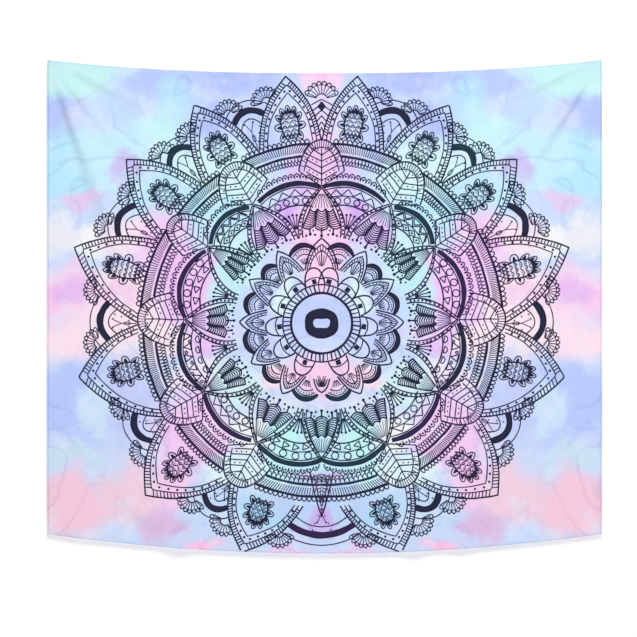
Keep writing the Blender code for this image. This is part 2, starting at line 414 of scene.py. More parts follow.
# %% The cloth's two materials
THREAD_DRAWN = 0.0011         # thread spacing as drawn, metres; the real one is 0.00025
CRUMPLE_SCALE = 16.0


def weave_bump(tree, strength):
    """Crossed threads and the faint crumple that a folded cloth keeps, as one bump."""
    place = add(tree, "TexCoord")
    waves = []
    for direction in ("X", "Z"):
        wave = add(tree, "TexWave", {"wave_type": "BANDS", "bands_direction": direction},
                   Vector=place.outputs["Object"], Scale=math.pi / (10 * THREAD_DRAWN),
                   Distortion=0.4)
        waves.append(wave.outputs["Fac"])
    threads = maths(tree, "MULTIPLY", *waves)
    crumple = add(tree, "TexNoise", Vector=place.outputs["Object"], Scale=CRUMPLE_SCALE,
                  Detail=5.0, Roughness=0.55)
    fine = add(tree, "Bump", Height=threads, Strength=strength, Distance=0.0002)
    return add(tree, "Bump", Height=crumple.outputs["Fac"], Strength=0.16, Distance=0.012,
               Normal=fine.outputs[0]).outputs[0]


def printed_polyester():
    """The printed face: sublimation dyes in matt polyester."""
    made, tree, shader = new_material("printed_polyester", Roughness=0.78, Sheen_Weight=0.12,
                                      Specular_IOR_Level=0.25, Sheen_Roughness=0.5)
    tree.links.new(tide_lines(tree, *watercolour(tree)), shader.inputs["Base Color"])
    tree.links.new(weave_bump(tree, 0.15), shader.inputs["Normal"])
    return made


def polyester_reverse():
    """The unprinted back of the cloth, with the print ghosting through."""
    made, tree, shader = new_material("polyester_reverse", Roughness=0.85, Sheen_Weight=0.1,
                                      Specular_IOR_Level=0.2)
    ghost = mixed(tree, 0.62, watercolour(tree)[0], linear("#eef0f4"))
    tree.links.new(ghost, shader.inputs["Base Color"])
    tree.links.new(weave_bump(tree, 0.3), shader.inputs["Normal"])
    return made


FACE = printed_polyester()
REVERSE = polyester_reverse()
print("cloth materials:", FACE.name, REVERSE.name)

# %% [markdown]
# ## The cloth itself
# One grid of small squares, moved onto the hung outline and out along its folds, then given
# its thickness backwards. The print's map is the cloth as it is seen from the front, in
# metres from the mandala's centre, so the washes and the line work share one set of places.

# %% Hang the grid
CLOTH_CELLS = (210, 180)


def add_print_map(bm):
    """The map that carries the print: metres across and up from the mandala's centre."""
    print_map = bm.loops.layers.uv.new("print_map")
    for face in bm.faces:
        for corner in face.loops:
            x, _, z = corner.vert.co
            corner[print_map].uv = (x - PRINT_CENTRE[0], z - PRINT_CENTRE[1])


def turn_faces(bm, way):
    """Make every face look forwards, with way at -1, or backwards, with way at 1."""
    bm.normal_update()
    wrong = [face for face in bm.faces if face.normal.y * way < 0]
    bmesh.ops.reverse_faces(bm, faces=wrong)


def finish_piece(name, bm, materials, body="cloth"):
    """The mesh made an object that rides on its body."""
    mesh = bpy.data.meshes.new(name)
    bm.to_mesh(mesh)
    bm.free()
    mesh.shade_smooth()
    made = bpy.data.objects.new(name, mesh)
    for material in materials:
        mesh.materials.append(material)
    bpy.context.collection.objects.link(made)
    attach(made, body)
    return made


def thicken(piece, label, thickness, offset=-1.0):
    """Give a thin piece its thickness, away from its face unless the offset says otherwise."""
    skin = piece.modifiers.new(label, "SOLIDIFY")
    skin.thickness = thickness
    skin.offset = offset
    return skin


def hang_cloth():
    """The whole cloth as one grid on the drape, printed face and plain back."""
    bm = bmesh.new()
    bmesh.ops.create_grid(bm, x_segments=CLOTH_CELLS[0], y_segments=CLOTH_CELLS[1], size=0.5)
    for vertex in bm.verts:
        x = 2 * HALF_WIDTH * vertex.co.x
        top, bottom = top_edge(x), bottom_edge(x)
        vertex.co = hung(x, bottom + (top - bottom) * (vertex.co.y + 0.5))
    add_print_map(bm)
    cloth = finish_piece("cloth", bm, (FACE, REVERSE))
    thicken(cloth, "thickness", CLOTH_THICK).material_offset = 1
    return cloth


cloth = hang_cloth()
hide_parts("printed_panel")
print("cloth faces:", len(cloth.data.polygons))

# %% [markdown]
# ## Drawing in ink
# A mandala is rings of simple motifs round one centre, so it is drawn the way it is drawn
# by hand: each motif is a few strokes, and loops carry it round the rings. A stroke is a
# line of points with a width. All strokes of a ring go into one bmesh as edge chains down
# one side of the stroke, and a single extrude of those edges, moved across by the width,
# turns them into flat inked strips. Last, every point is hung on the draped cloth, less
# than half a millimetre proud of it. Real geometry keeps the line crisp at any distance.

# %% The pen
HAIR = 0.0023             # the thinnest hatching, metres
FINE = 0.0031             # small detail
LINE = 0.0041             # outlines
BOLD = 0.0066             # the heavier rims
STEP = 0.006              # the furthest apart two points of a stroke may be
INK_LIFT = 0.00040        # how far the ink's surface stands proud of the cloth's

strokes = []              # each: points, half widths, whether it closes on itself


def spot(angle, reach):
    """A place on the print by degrees round the centre and metres out from it."""
    turn = math.radians(angle)
    return Vector((reach * math.cos(turn), reach * math.sin(turn)))


def local(angle, reach, tilt=0.0):
    """A small frame of its own: u runs round the ring and v runs outwards from the centre."""
    origin = spot(angle, reach)
    out = spot(angle + tilt, 1.0)
    side = Vector((-out.y, out.x))
    return lambda u, v: origin + side * u + out * v


def stroke(points, width=LINE, closed=False, taper=0.0):
    """Keep a stroke. With taper, the pen swells from thin ends to full width in the middle."""
    last = len(points) - 1
    halves = []
    for index in range(len(points)):
        share = math.sin(math.pi * index / last) if last else 1.0
        halves.append(width / 2 * (1.0 - taper + taper * math.sqrt(max(share, 0.0))))
    strokes.append((points, halves, closed))


def trace(path, width=LINE, closed=False, taper=0.0):
    """Draw a curve, given as a function of 0 to 1, with enough points for its length."""
    rough = [path(i / 8) for i in range(9)]
    length = sum((b - a).length for a, b in zip(rough, rough[1:]))
    count = max(2 if not closed else 8, math.ceil(length / STEP))
    points = [path(i / count) for i in range(count if closed else count + 1)]
    stroke(points, width, closed, taper)


def rule(start, end, width=LINE):
    """A straight line between two places."""
    count = max(1, math.ceil((end - start).length / (2 * STEP)))
    stroke([start.lerp(end, i / count) for i in range(count + 1)], width)


def dot(centre, radius):
    """A round dot: one short stroke as wide as a circle is at each of its points."""
    points, halves = [], []
    for index in range(6):
        turn = math.pi * (index + 0.001) / 5.002
        points.append(centre + Vector((radius * math.cos(turn), 0.0)))
        halves.append(radius * math.sin(turn))
    strokes.append((points, halves, False))


def ring(centre, radius, width=FINE, sides=11):
    """A small circle in outline."""
    turns = [2 * math.pi * i / sides for i in range(sides)]
    points = [centre + Vector((radius * math.cos(a), radius * math.sin(a))) for a in turns]
    stroke(points, width, closed=True)


def dome(middle, half, low, high, power=2.0):
    """An arch round the centre: half degrees either side, low at its ends, high at its top."""
    def path(t):
        side = 2 * t - 1
        return spot(middle + half * side, low + (high - low) * (1 - abs(side) ** power))
    return path


def between_paths(first, second, share):
    """The path that runs part of the way from one path to another."""
    return lambda t: first(t).lerp(second(t), share)


def rungs(first, second, count, width=FINE, start=0.0, end=1.0):
    """Short lines from one path across to another, as on a ladder."""
    for index in range(count):
        t = start + (end - start) * (index + 0.5) / count
        rule(first(t), second(t), width)


def dots_along(path, count, radius, start=0.0, end=1.0):
    """A row of dots, evenly spaced along a path."""
    for index in range(count):
        dot(path(start + (end - start) * (index + 0.5) / count), radius)


def scallops(path, count, height, width=FINE, centre=Vector((0.0, 0.0)), dotted=0.0):
    """A chain of small round loops standing outwards on a path, each with a dot if asked."""
    for index in range(count):
        left, right = path(index / count), path((index + 1) / count)
        middle = (left + right) / 2
        out = (middle - centre).normalized() * height
        side = (right - left) / 2

        def bump(t, middle=middle, side=side, out=out):
            turn = math.pi * t
            return middle - side * math.cos(turn) * 1.02 + out * math.sin(turn)
        trace(bump, width)
        if dotted:
            dot(middle + out * 0.42, dotted)


def zigzag(low, high, count, width=FINE):
    """A line that runs to and fro between two paths."""
    points = []
    for index in range(count * 2 + 1):
        path = high if index % 2 else low
        points.append(path(index / (count * 2)))
    for start, end in zip(points, points[1:]):
        rule(start, end, width)


def outline(corners, width=FINE):
    """A closed figure through a few corners."""
    for start, end in zip(corners, corners[1:] + corners[:1]):
        rule(start, end, width)


def wedge(tip, base_left, base_right):
    """A filled triangle: one stroke that widens from its tip to its base."""
    middle = (base_left + base_right) / 2
    strokes.append(([tip, middle], [0.0002, (base_right - base_left).length / 2], False))


def pin(foot, head, radius=0.0036, width=FINE):
    """A stalk with a round head."""
    rule(foot, head, width)
    dot(head, radius)


print("a fine line is", FINE * 1000, "mm and an outline is", LINE * 1000, "mm")

# %% [markdown]
# ## From strokes to strips of ink
# The hand is never quite steady, so one slow noise nudges every place a millimetre or so
# and another makes the pen swell and thin. The print was drawn once and mirrored, so the
# noise that nudges it is mirrored too. Lines are navy over most of the print, and take a
# little plum or teal from the strongest washes, so each stroke picks one of three inks.

# %% Lay the ink
TREMOR = 0.0016
TREMOR_SEED = 7           # so that the noise that nudges places is the same in every run
TREMOR_SCALE = 22.0
SWELL = 0.22              # the share by which the pen swells and thins
SWELL_SCALE = 35.0
LAYERS = 6                # strokes lie at six heights, so few that cross share a plane
LAYER_STEP = 0.00008      # the height that ten layers would span
EDGE_MARGIN = 0.0008      # the print stops this far inside the cloth's edge
noise.seed_set(TREMOR_SEED)


def steady_hand(place):
    """The place nudged by a slow noise that is the same on both sides of the middle."""
    mirrored = Vector((abs(place.x), place.y, 0.0))
    nudge = noise.noise_vector(mirrored * TREMOR_SCALE) * TREMOR
    return place + Vector((math.copysign(nudge.x, place.x) * min(1, abs(place.x) / 0.02),
                           nudge.y))


def across_at(points, index, closed):
    """The direction across the stroke at one of its points, longer where it turns a corner."""
    count = len(points)
    before = points[index - 1] if index or closed else points[index]
    after = points[(index + 1) % count] if index < count - 1 or closed else points[index]
    here = points[index]
    first = (here - before).normalized() if here != before else (after - here).normalized()
    second = (after - here).normalized() if after != here else first
    along = first + second
    along = along.normalized() if along.length > 1e-6 else first
    stretch = 1.0 / max(0.6, along.dot(first))
    return Vector((-along.y, along.x)) * stretch


def inside_cloth(place):
    x, z = place.x + PRINT_CENTRE[0], place.y + PRINT_CENTRE[1]
    within = abs(x) < HALF_WIDTH - EDGE_MARGIN
    return within and bottom_edge(x) + EDGE_MARGIN < z < top_edge(x) - EDGE_MARGIN


def ink_colour(place):
    """Which ink a stroke takes: 0 navy, 1 plum over orchid washes, 2 teal over aqua ones."""
    mirrored = Vector((abs(place.x), place.y))
    for kind, spots in ((1, PLUM_PLACES), (2, TEAL_PLACES)):
        for x, z, reach in spots:
            if (mirrored - Vector((x, z))).length < reach:
                return kind
    return 0


PLUM_PLACES = ((0.11, 0.28, 0.09), (0.40, 0.10, 0.13), (0.0, -0.53, 0.09), (0.36, -0.30, 0.12))
TEAL_PLACES = ((0.30, 0.40, 0.13), (0.0, -0.33, 0.15), (0.24, 0.17, 0.09), (0.45, 0.44, 0.08))


def mirror_strokes():
    """Complete the drawing from its left half. What lies evenly over the middle stays."""
    drawn = list(strokes)
    strokes.clear()
    for points, halves, closed in drawn:
        leftmost, rightmost = min(p.x for p in points), max(p.x for p in points)
        if leftmost > -0.0005 and rightmost > 0.0005:
            continue
        strokes.append((points, halves, closed))
        if abs(leftmost + rightmost) > 0.0010:
            strokes.append(([Vector((-p.x, p.y)) for p in points], halves, closed))


def ink_material(name, code):
    """Dark dye ink soaked into the cloth: matt, and never quite black."""
    return new_material(name, Base_Color=linear(code), Roughness=0.8,
                        Specular_IOR_Level=0.2)[0]


INKS = (
    ink_material("navy_dye_ink", "#22243f"),
    ink_material("plum_dye_ink", "#30204a"),
    ink_material("teal_dye_ink", "#1c3445"),
)
GHOST = ink_material("dye_ink_seen_through_cloth", "#a9b0c9")


def lay_ink(name):
    """Turn the strokes kept so far into one piece of ink on the cloth, and clear them."""
    bm = bmesh.new()
    across = bm.verts.layers.float_vector.new("across")
    for number, (points, halves, closed) in enumerate(strokes):
        kind = ink_colour(points[len(points) // 2]) + 0.1 * (number % LAYERS)
        placed = [steady_hand(p) for p in points]
        chain = []
        for index, place in enumerate(placed):
            rough = noise.noise(Vector((place.x, place.y, 3.0)) * SWELL_SCALE)
            swell = 1.0 + SWELL * rough
            sweep = across_at(placed, index, closed) * halves[index] * swell
            vertex = bm.verts.new((place.x - sweep.x, 0.0, place.y - sweep.y))
            vertex[across] = (2 * sweep.x, kind, 2 * sweep.y)
            chain.append(vertex if inside_cloth(place) else None)
        links = list(zip(chain, chain[1:])) + ([(chain[-1], chain[0])] if closed else [])
        for start, end in links:
            if start and end:
                bm.edges.new((start, end))
    grown = bmesh.ops.extrude_edge_only(bm, edges=bm.edges[:])["geom"]
    for vertex in grown:
        if isinstance(vertex, bmesh.types.BMVert):
            vertex.co.x += vertex[across].x
            vertex.co.z += vertex[across].z
    loose = [v for v in bm.verts if not v.link_faces]
    bmesh.ops.delete(bm, geom=loose, context="VERTS")
    for face in bm.faces:
        face.material_index = int(face.verts[0][across].y + 0.01)
    for vertex in bm.verts:
        x, z = vertex.co.x + PRINT_CENTRE[0], vertex.co.z + PRINT_CENTRE[1]
        layer = vertex[across].y % 1.0
        vertex.co = hung(x, z, -INK_LIFT - LAYER_STEP * layer)
    bm.verts.layers.float_vector.remove(across)
    turn_faces(bm, -1)
    piece = finish_piece(name, bm, INKS + (GHOST,))
    soaked = thicken(piece, "soaked_through", INK_LIFT + CLOTH_THICK + 0.00009)
    soaked.material_offset = len(INKS)
    soaked.material_offset_rim = len(INKS)
    print(name, "strokes:", len(strokes), "faces:", len(piece.data.polygons))
    strokes.clear()


print("inks:", [ink.name for ink in INKS])

# %% [markdown]
# ## The rosette in the middle
# From the centre outwards: a rounded dark eye, a plain disc, a ring of ticks like the edge
# of a coin, twelve lidded lobes, and twelve pointed petals with dark arcs between them.
# Only the left half is laid out, in degrees counted round from the right, with 90 at the
# top; the right half is its mirror.

# %% The eye, the disc and the lobes
LOBES = (99.5, 127.5, 155.5, 184.5, 214.0, 246.5)


def tent(low_start, low_end, tip, fall=0.0, belly=0.0):
    """Two sides that meet at a tip, straight or with a belly; places in degrees and metres."""
    def path(t):
        foot, share = (low_start, 2 * t) if t < 0.5 else (low_end, 2 - 2 * t)
        bow = math.sin(math.pi * share)
        wider = math.copysign(belly * bow, foot[0] - tip[0])
        return spot(foot[0] + (tip[0] - foot[0]) * share + wider,
                    foot[1] + (tip[1] - foot[1]) * share + fall * bow)
    return path


def eye(t):
    turn = 2 * math.pi * t
    flat = lambda value: math.copysign(abs(value) ** 0.78, value)
    return Vector((0.0335 * flat(math.cos(turn)), 0.0265 * flat(math.sin(turn))))


outline_of_eye = [eye(i / 48) for i in range(48)]
pinched = [0.0118 + 0.0030 * math.sin(2 * math.pi * i / 48) ** 20 for i in range(48)]
strokes.append((outline_of_eye, pinched, True))
for reach, width in ((0.0815, BOLD), (0.1045, LINE)):
    trace(lambda t: spot(360 * t, reach), width, closed=True)
for index in range(52):
    middle = 90 + 360 * (index + 0.5) / 52
    rule(spot(middle, 0.083), spot(middle + 1.2, 0.104), 0.0044 if index % 2 else 0.0028)
for middle in LOBES:
    trace(dome(middle, 14.2, 0.107, 0.151, 2.4), LINE)
    trace(dome(middle, 12.5, 0.119, 0.1245), FINE)
    rule(spot(middle, 0.1075), spot(middle + 0.6, 0.1205), 0.0130)
print("strokes so far:", len(strokes))

# %% The petals and dark arcs of the rosette
POINTED = ((90, 17.0, 0.2295), (121.5, 13.0, 0.227), (149, 13.0, 0.227),
           (179.5, 13.0, 0.2215), (209.5, 13.0, 0.2175), (241, 12.5, 0.2175), (270, 8.0, 0.187))
DARK_ARCS = ((105, 0.2215, 10.0), (135.5, 0.2165, 7.5), (164, 0.2165, 8.5),
             (194.5, 0.2165, 9.5), (225.5, 0.2125, 9.0), (256.5, 0.2145, 10.0))

for middle, half, tip in POINTED:
    sides = [tent((middle - half + inset, 0.150), (middle + half - inset, 0.150),
                  (middle, tip - drop), 0.008)
             for inset, drop in ((0.0, 0.0), (2.2, 0.0165), (4.6, 0.0330))]
    trace(sides[0], LINE)
    trace(sides[1], FINE)
    trace(sides[2], FINE)
    rungs(sides[1], sides[2], 12, HAIR, 0.06, 0.94)
    rule(spot(middle, 0.153), spot(middle, tip - 0.031), FINE)
    for lean in (-4.5, -2.2, 2.2, 4.5):
        rule(spot(middle + lean * 0.4, 0.155), spot(middle + lean, tip - 0.045), HAIR)
for middle, peak, half in DARK_ARCS:
    trace(dome(middle, half * 1.05, peak - 0.022, peak - 0.005), 0.0145, taper=0.55)
    trace(dome(middle, half * 0.80, peak - 0.027, peak - 0.0155), FINE)
    trace(dome(middle, half * 0.62, peak - 0.036, peak - 0.0285), FINE)
    dots_along(dome(middle, half * 0.66, peak - 0.029, peak - 0.022), 6, 0.0020)
    for lean in range(-2, 3):
        rule(spot(middle + lean * 0.8, peak - 0.056), spot(middle + lean * 1.9, peak - 0.040),
             HAIR)
mirror_strokes()
lay_ink("ink_rosette")

# %% [markdown]
# ## Tulips, swags and arches
# Round the rosette hang twelve striped tulips. Each grows inwards from the place where two
# arches meet, and a double dotted swag joins that place to the valleys on either side. Over
# them stand twelve arches with heavy dark rims, each with two bands of pattern under it.

# %% Swags and tulips
JUNCTIONS = ((90, 11.5), (120, 11.5), (146, 8.0), (178.5, 10.0), (210, 9.0), (241.5, 11.5),
             (270, 10.5))
VALLEYS = (105, 135.5, 164, 194, 225, 257.5)
MEETING = 0.368           # how far out the arches meet
HOLLOW = 0.236            # how far out a valley lies


def swag(start, end, shift):
    """The curve from a meeting place down to a valley, moved a little round the ring."""
    def path(t):
        turn = start + (end - start) * math.sin(math.pi / 2 * t)
        return spot(turn + shift * min(1.0, 0.45 + t), MEETING + (HOLLOW - MEETING) * t)
    return path


def tulip(middle, half):
    """A neck of fine rays, three lobes striped across, and three stalks with seed heads."""
    for ray in range(-3, 4):
        rule(spot(middle + ray * 0.36, 0.349), spot(middle + ray * half * 0.14, 0.312), 0.0018)
    trace(tent((middle - half * 0.52, 0.310), (middle + half * 0.52, 0.310),
               (middle, 0.366)), FINE)
    for lobe in (-1, 0, 1):
        for stripe in range(9):
            depth = stripe / 8
            wide = half * (0.50 + 0.50 * depth)
            left = middle + wide * (2 * lobe - 1) / 3
            top = 0.310 - 0.050 * depth + (0.006 * depth if lobe else 0.0)
            arc = dome((left + left + 2 * wide / 3) / 2, wide / 3, top, top - 0.0085)
            trace(arc, LINE if stripe in (0, 8) else FINE)
        for edge in ((-1, 1) if lobe == 0 else (lobe * 3,)):
            rule(spot(middle + edge * half * 0.50 / 3, 0.310),
                 spot(middle + edge * half / 3, 0.262), LINE)
        foot = middle + lobe * half * 0.62
        pin(spot(foot, 0.257), spot(foot, 0.236 + 0.007 * abs(lobe)), 0.0042, LINE)


for middle, half in JUNCTIONS:
    tulip(middle, half)
    for lean in (-0.36, 0.36, -0.85, 0.85):
        dot(spot(middle + lean * half, 0.2400), 0.0032)
        dot(spot(middle + lean * half * 1.2, 0.2520), 0.0026)
for index, valley in enumerate(VALLEYS):
    for meeting, turn in ((JUNCTIONS[index][0], 1), (JUNCTIONS[index + 1][0], -1)):
        for shift in (-1.1, 1.2):
            trace(swag(meeting, valley - turn * 1.7, shift * turn), 0.0036)
        dots_along(swag(meeting, valley - turn * 1.7, 0.05 * turn), 11, 0.0029, 0.10, 0.95)
    for lean in (-4.2, -2.1, 0.0, 2.1, 4.2):
        pin(spot(valley + lean * 0.12, 0.262), spot(valley + lean, 0.3025 - 0.0012 * abs(lean)),
            0.0036)
mirror_strokes()
lay_ink("ink_tulips")

# %% Arches and their bands of pattern
ARCHES = (
    (104.0, 13.5, 0.3905, "zigzag", "circles"), (133.2, 11.2, 0.396, "twice", "diamonds"),
    (162.8, 14.8, 0.402, "circles", "triangles"), (194.5, 14.5, 0.398, "seeds", "halves"),
    (225.0, 14.0, 0.391, "zigzag", "circles"), (256.2, 13.8, 0.394, "circles", "triangles"),
)


def band(middle, half, low, high, sink, kind):
    """A band of one pattern between two arcs that sink towards their ends."""
    under = dome(middle, half, low - sink, low)
    over = dome(middle, half, high - sink, high)
    core = between_paths(under, over, 0.5)
    size = (high - low) * 0.42
    count = max(4, round(math.radians(2 * half) * low / (size * 3.1)))
    for index in range(count):
        t = (index + 0.5) / count
        centre, up = core(t), (over(t) - under(t)).normalized()
        side = Vector((-up.y, up.x))
        if kind == "circles":
            ring(centre, size)
        elif kind == "diamonds":
            outline([centre + up * size, centre + side * size * 1.4, centre - up * size,
                     centre - side * size * 1.4])
            dot(centre, size * 0.35)
        elif kind == "triangles":
            outline([centre + side * size, centre - side * size + up * size,
                     centre - side * size - up * size])
        elif kind == "seeds":
            turn = 1 if index % 2 else -1
            outline([centre + up * size * turn, centre + (side - up * turn) * size,
                     centre - (side + up * turn) * size])
            ring(centre + side * size * 1.55 + up * size * 0.5 * turn, size * 0.36, sides=7)
        elif kind == "halves":
            foot = centre - up * size * 0.9
            trace(lambda t: foot + (side * math.cos(math.pi * t)
                                    + up * math.sin(math.pi * t)) * size * 1.1, FINE)
            rule(foot + side * size * 1.1, foot - side * size * 1.1, FINE)
    if kind in ("zigzag", "twice"):
        zigzag(between_paths(under, over, 0.08), between_paths(under, over, 0.80), count)
    if kind == "twice":
        zigzag(between_paths(under, over, 0.35), between_paths(under, over, 1.05), count)


for middle, half, peak, upper, lower in ARCHES:
    trace(dome(middle, half, MEETING, peak - 0.006), 0.0140, taper=0.25)
    trace(dome(middle, half * 0.98, MEETING - 0.010, peak - 0.0165), FINE)
    band(middle, half * 0.78, peak - 0.0400, peak - 0.0170, 0.010, upper)
    trace(dome(middle, half * 0.84, peak - 0.0520, peak - 0.0400), FINE)
    band(middle, half * 0.66, peak - 0.0620, peak - 0.0415, 0.009, lower)
    trace(dome(middle, half * 0.70, peak - 0.0740, peak - 0.0640), LINE)
    edge = dome(middle, half * 0.93, MEETING + 0.012, peak + 0.007)
    scallops(edge, round(half * 2 * 0.93 / 2.35), 0.0140, FINE, dotted=0.0031)
mirror_strokes()
lay_ink("ink_arches")

# %% [markdown]
# ## Leaves and hatched strips
# A leaf stands on every meeting place, edged with a ladder. Between the leaves runs a belt of
# fine hatching with a heavy line on each side. Small scallops stand on its rim, and two rows
# of them hang from its inner side.

# %% Leaves and the belt between them
LEAVES = ((90, 8.5), (120.2, 9.6), (146, 8.0), (178.5, 10.0), (210, 9.2), (241.5, 9.2))
LEAF_TIP = 0.4960
BELTS = (0.4860, 0.4870, 0.4890, 0.4820, 0.4750, 0.4680)   # how far out each belt's rim is
FOOT_OF_PRINT = 270.0     # degrees; no leaf stands there


def leaf_side(index, reach):
    """Degrees from a leaf's middle to its side at a distance out."""
    if index == len(LEAVES):
        return 0.0
    rise = min(max((reach - 0.4150) / (LEAF_TIP - 0.4150), 0.0), 1.0)
    return LEAVES[index][1] * (1.0 - rise) ** (1 / 2.3) + 0.3


def leaf(middle, half):
    """An onion-shaped leaf: a ladder round its edge and dotted veins inside it."""
    outer = dome(middle, half, 0.4150, LEAF_TIP, 2.3)
    inner = dome(middle, half * 0.77, 0.4130, LEAF_TIP - 0.0200, 2.2)
    trace(outer, LINE)
    trace(inner, FINE)
    rungs(inner, outer, 21, HAIR, 0.02, 0.98)
    rule(spot(middle, 0.3720), spot(middle, LEAF_TIP - 0.0220), FINE)
    for turn in (-1, 1):
        rule(spot(middle, 0.3700), spot(middle + turn * half, 0.4150), FINE)
        for step in range(5):
            foot = 0.3860 + 0.0170 * step
            wide = half * (0.46 if step == 4 else 0.68) * turn
            tip = (middle + wide, foot + 0.0250)
            rule(spot(middle, foot), spot(*tip), FINE)
            if step % 2 == 0:
                for share in (0.3, 0.55, 0.8):
                    dot(spot(middle + wide * share, foot + 0.0080 + 0.0250 * share), 0.0022)


def belt_ends(index):
    """The middle of the leaf a belt starts from, and of the one it runs to, in degrees."""
    return LEAVES[index][0], (LEAVES[index + 1:] + ((FOOT_OF_PRINT, 0.0),))[0][0]


def belt_line(index, down):
    """A belt's line this far in from its rim, from one leaf's side to the next one's."""
    reach = BELTS[index] - down
    first, last = belt_ends(index)
    start, end = first + leaf_side(index, reach), last - leaf_side(index + 1, reach)
    return dome((start + end) / 2, (end - start) / 2, reach, reach + 0.0010)


for middle, half in LEAVES:
    leaf(middle, half)
for index in range(len(BELTS)):
    first, last = belt_ends(index)
    turn = last - first
    rim = belt_line(index, 0.0)
    trace(rim, BOLD)
    trace(belt_line(index, 0.0320), 0.0070)
    rungs(belt_line(index, 0.0235), rim, round(turn * 0.88), HAIR)
    for down in (0.0360, 0.0450):
        scallops(belt_line(index, down), round(turn * 0.42), -0.0112, 0.0026)
    scallops(rim, round(turn * 0.5), 0.0135, FINE)
mirror_strokes()
lay_ink("ink_leaves")

# %% [markdown]
# ## The outer petals
# Fourteen long petals round the edge, a ladder and a row of dots down each side and a lotus
# in each one's foot. Behind them stand arches with a heavy crescent, a forked sprig under
# each crescent, a shell where an arch meets a petal, and one larger shell at the top. The
# lowest petals run off the cloth, as a print may be made a little larger than the cut.

# %% Petals, lotuses, arches, sprigs and shells
PETALS = ((98.3, 0.674), (120.3, 0.682), (140.0, 0.687), (163.0, 0.697), (192.5, 0.671),
          (224.3, 0.664), (250.8, 0.654))
FEET = (89.8, 110.0, 130.5, 153.0, 180.0, 211.0, 240.0, 264.5)
FOOT_REACH = 0.4950
PETAL_BELLY = 1.1         # degrees a side bulges at its middle
CRESCENTS = (0.612, 0.617, 0.620, 0.602, 0.583, 0.583, 0.576)
SHELLS = ((103.5, 0.650), (114.5, 0.650), (124.5, 0.648), (134.0, 0.653),
          (145.5, 0.648), (156.5, 0.662), (171.0, 0.642), (185.5, 0.638), (202.0, 0.610),
          (216.5, 0.624), (233.0, 0.621), (244.5, 0.627), (258.0, 0.610))


def petal_side(tip, foot, reach):
    """How far round a petal's side is at a given distance out."""
    share = (tip[1] - reach) / (tip[1] - FOOT_REACH)
    wider = math.copysign(PETAL_BELLY * math.sin(math.pi * share), foot - tip[0])
    return tip[0] + (foot - tip[0]) * share + wider


def square_on(side, lag=0.90, lead=0.03):
    """The same side, its places moved so that rungs from an inner side meet it squarely."""
    def path(t):
        share = lag * 2 * min(t, 1 - t) + lead
        return side(share / 2 if t < 0.5 else 1 - share / 2)
    return path


def petal(tip, left, right):
    """One long petal: a ladder, a dotted border, and the plain field inside them."""
    sides = []
    for inset, drop, width in ((0.0, 0.0, LINE), (1.35, 0.0230, FINE), (2.6, 0.0460, FINE)):
        side = tent((left - inset, FOOT_REACH), (right + inset, FOOT_REACH),
                    (tip[0], tip[1] - drop), 0.006, PETAL_BELLY)
        trace(side, width)
        sides.append(side)
    rungs(sides[1], square_on(sides[0]), 46, 0.0031, 0.02, 0.98)
    dots_along(between_paths(sides[1], sides[2], 0.5), 16, 0.0034, 0.03, 0.97)


def lotus(middle, low, high, wide):
    """An upright bud: rounded petals with dark hearts round it, scrolls and hatching within."""
    tall = high - low
    place = local(middle, low)

    def egg(turn, grow=1.0):
        lean = math.radians(turn)
        return place(wide * grow * math.sin(lean) * (1.0 - 0.20 * math.cos(lean)),
                     tall * (0.50 - 0.50 * grow * math.cos(lean)))
    count = 9
    for index in range(count):
        turn = 46 + 268 * (index + 0.5) / count
        first, last, point = egg(turn - 14.5), egg(turn + 14.5), egg(turn)
        out = (point - place(0.0, tall * 0.5)).normalized() * 0.0190
        side, belly = (last - first) / 2, (first + last) / 2

        def loop(t, side=side, belly=belly, out=out):
            rise = math.sin(math.pi * t)
            return belly - side * math.cos(math.pi * t) * (0.92 + 0.25 * rise) + out * rise
        trace(loop, FINE)
        strokes.append(([belly + out * share for share in (0.05, 0.22, 0.48, 0.74)],
                        [0.0044, 0.0050, 0.0034, 0.0006], False))
    trace(lambda t: egg(24 + 312 * t), LINE)
    for row in range(8):
        lean = 32 + 17.5 * row
        left, right = egg(-lean, 0.95), egg(lean, 0.95)
        scales = (2, 3)[row % 2]
        for scale in range(scales):
            start = left.lerp(right, scale / scales)
            end = left.lerp(right, (scale + 1) / scales)
            up = place(0.0, 0.0085) - place(0.0, 0.0)
            trace(lambda t: start.lerp(end, t) + up * math.sin(math.pi * t), HAIR)
            for share in (0.3, 0.5, 0.7):
                foot = start.lerp(end, share)
                rule(foot, foot + up * 0.72, 0.0017)


def shell(middle, reach, tilt, grow=1.0):
    """Half a scalloped rosette: rays between a small arc and a large one."""
    origin = local(middle, reach - 0.035 * grow, tilt)

    def place(u, v):
        return origin(u * grow, v * grow)

    def arc(radius):
        return lambda t: place(radius * math.sin(math.radians(-74 + 148 * t)),
                               radius * math.cos(math.radians(-74 + 148 * t)))
    trace(arc(0.0130), FINE)
    trace(arc(0.0330), HAIR)
    rungs(arc(0.0130), arc(0.0330), 9, HAIR)
    scallops(arc(0.0330), 8, 0.0100, FINE, centre=place(0.0, 0.0))
    for turn in (-1, 1):
        rule(place(turn * 0.0125, 0.0036), place(turn * 0.0330, 0.0090), FINE)


def sprig(middle, reach):
    """A forked stem with a loop on it and loose dots about it."""
    place = local(middle, 0.500)
    fork = reach - 0.562
    rule(place(0.0, 0.0), place(0.0, fork), HAIR)
    for turn in (-1, 1):
        rule(place(0.0, fork), place(turn * 0.0100, fork + 0.0220), HAIR)
        dot(place(turn * 0.0120, fork + 0.0240), 0.0026)
        for up, out in ((0.020, 0.008), (0.040, 0.018), (0.058, 0.024)):
            dot(place(turn * out, up), 0.0022)
    trace(lambda t: place(0.0042 * math.sin(2 * math.pi * t),
                          fork * 0.62 + 0.0100 * math.cos(2 * math.pi * t)), HAIR)


